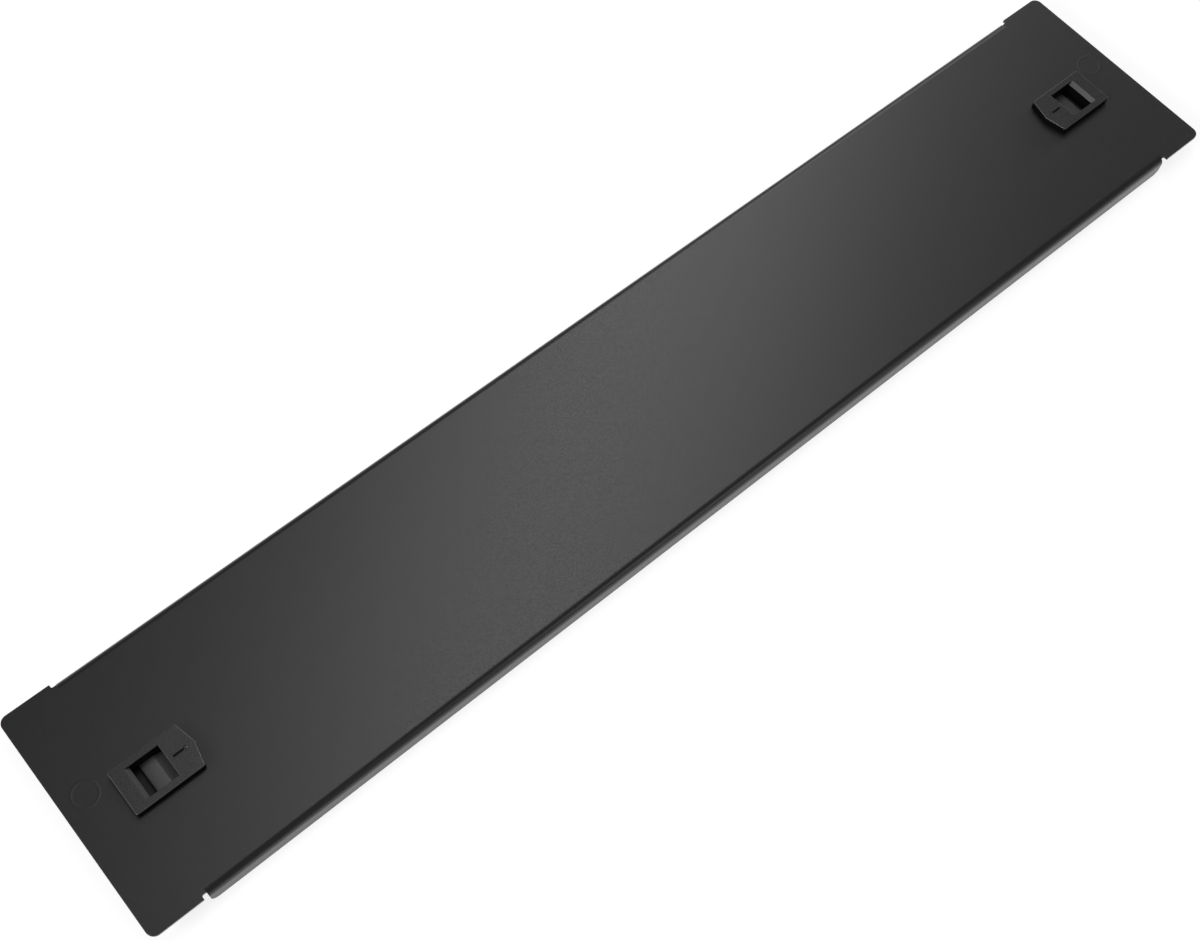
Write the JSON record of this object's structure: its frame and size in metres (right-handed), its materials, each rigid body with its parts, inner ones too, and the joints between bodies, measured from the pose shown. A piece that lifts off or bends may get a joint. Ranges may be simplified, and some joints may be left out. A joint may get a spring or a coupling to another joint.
{
  "type": "rack blanking panel",
  "caption": "Folded steel blanking panel for a 19 inch rack, two units high, with sliding spring latches and locating studs behind its ears.",
  "frame": {"origin": "middle of the panel on the surface that its flanges rest on", "axes": "+X along the panel's length, +Y along its height towards its upper edge in the rack, +Z out of its front face"},
  "size_m": [0.4826, 0.0882, 0.0112],
  "materials": {
    "sheet_paint": "satin black powder coat",
    "handle_plastic": "black moulded plastic, fine texture",
    "carriage_plastic": "black moulded plastic",
    "spring_steel": "drawn spring wire",
    "stud_paint": "satin black powder coat"
  },
  "bodies": {
    "panel": {"panel_sheet": "sheet_paint", "left_locating_stud": "stud_paint", "right_locating_stud": "stud_paint", "left_latch_spring": "spring_steel", "right_latch_spring": "spring_steel"},
    "left_latch": {"left_latch_handle": "handle_plastic", "left_latch_carriage": "carriage_plastic"},
    "right_latch": {"right_latch_handle": "handle_plastic", "right_latch_carriage": "carriage_plastic"}
  },
  "joints": [
    {"name": "left_latch_slide", "type": "slide", "parent": "panel", "child": "left_latch", "axis": [1, 0, 0], "range_m": [0, 0.005], "stiffness_N_per_m": 300, "springref_m": -0.005, "deforming": ["left_latch_spring"]},
    {"name": "right_latch_slide", "type": "slide", "parent": "panel", "child": "right_latch", "axis": [-1, 0, 0], "range_m": [0, 0.005], "stiffness_N_per_m": 300, "springref_m": -0.005, "deforming": ["right_latch_spring"]}
  ]
}
